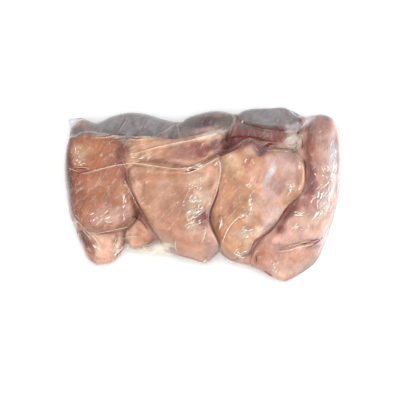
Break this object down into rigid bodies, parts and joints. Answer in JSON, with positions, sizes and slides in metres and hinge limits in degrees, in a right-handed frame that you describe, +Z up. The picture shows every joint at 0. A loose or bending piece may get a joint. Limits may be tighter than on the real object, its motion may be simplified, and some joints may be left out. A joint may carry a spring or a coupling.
{
  "type": "vacuum pack of chicken breast fillets",
  "caption": "Clear vacuum pack of raw chicken breast fillets, lying flat, with the film drawn tight over the overlapping fillets.",
  "frame": {"origin": "middle of the pack's bounding box, on the flat base that it lies on", "axes": "+X along the pack's length, +Y from the near edge to the far edge with its film corner at -X, +Z up"},
  "size_m": [0.307, 0.1956, 0.0579],
  "materials": {
    "film_over_meat": "clear glossy film over raw pink meat"
  },
  "bodies": {
    "root": {"vacuum_pack": "film_over_meat"}
  },
  "joints": []
}
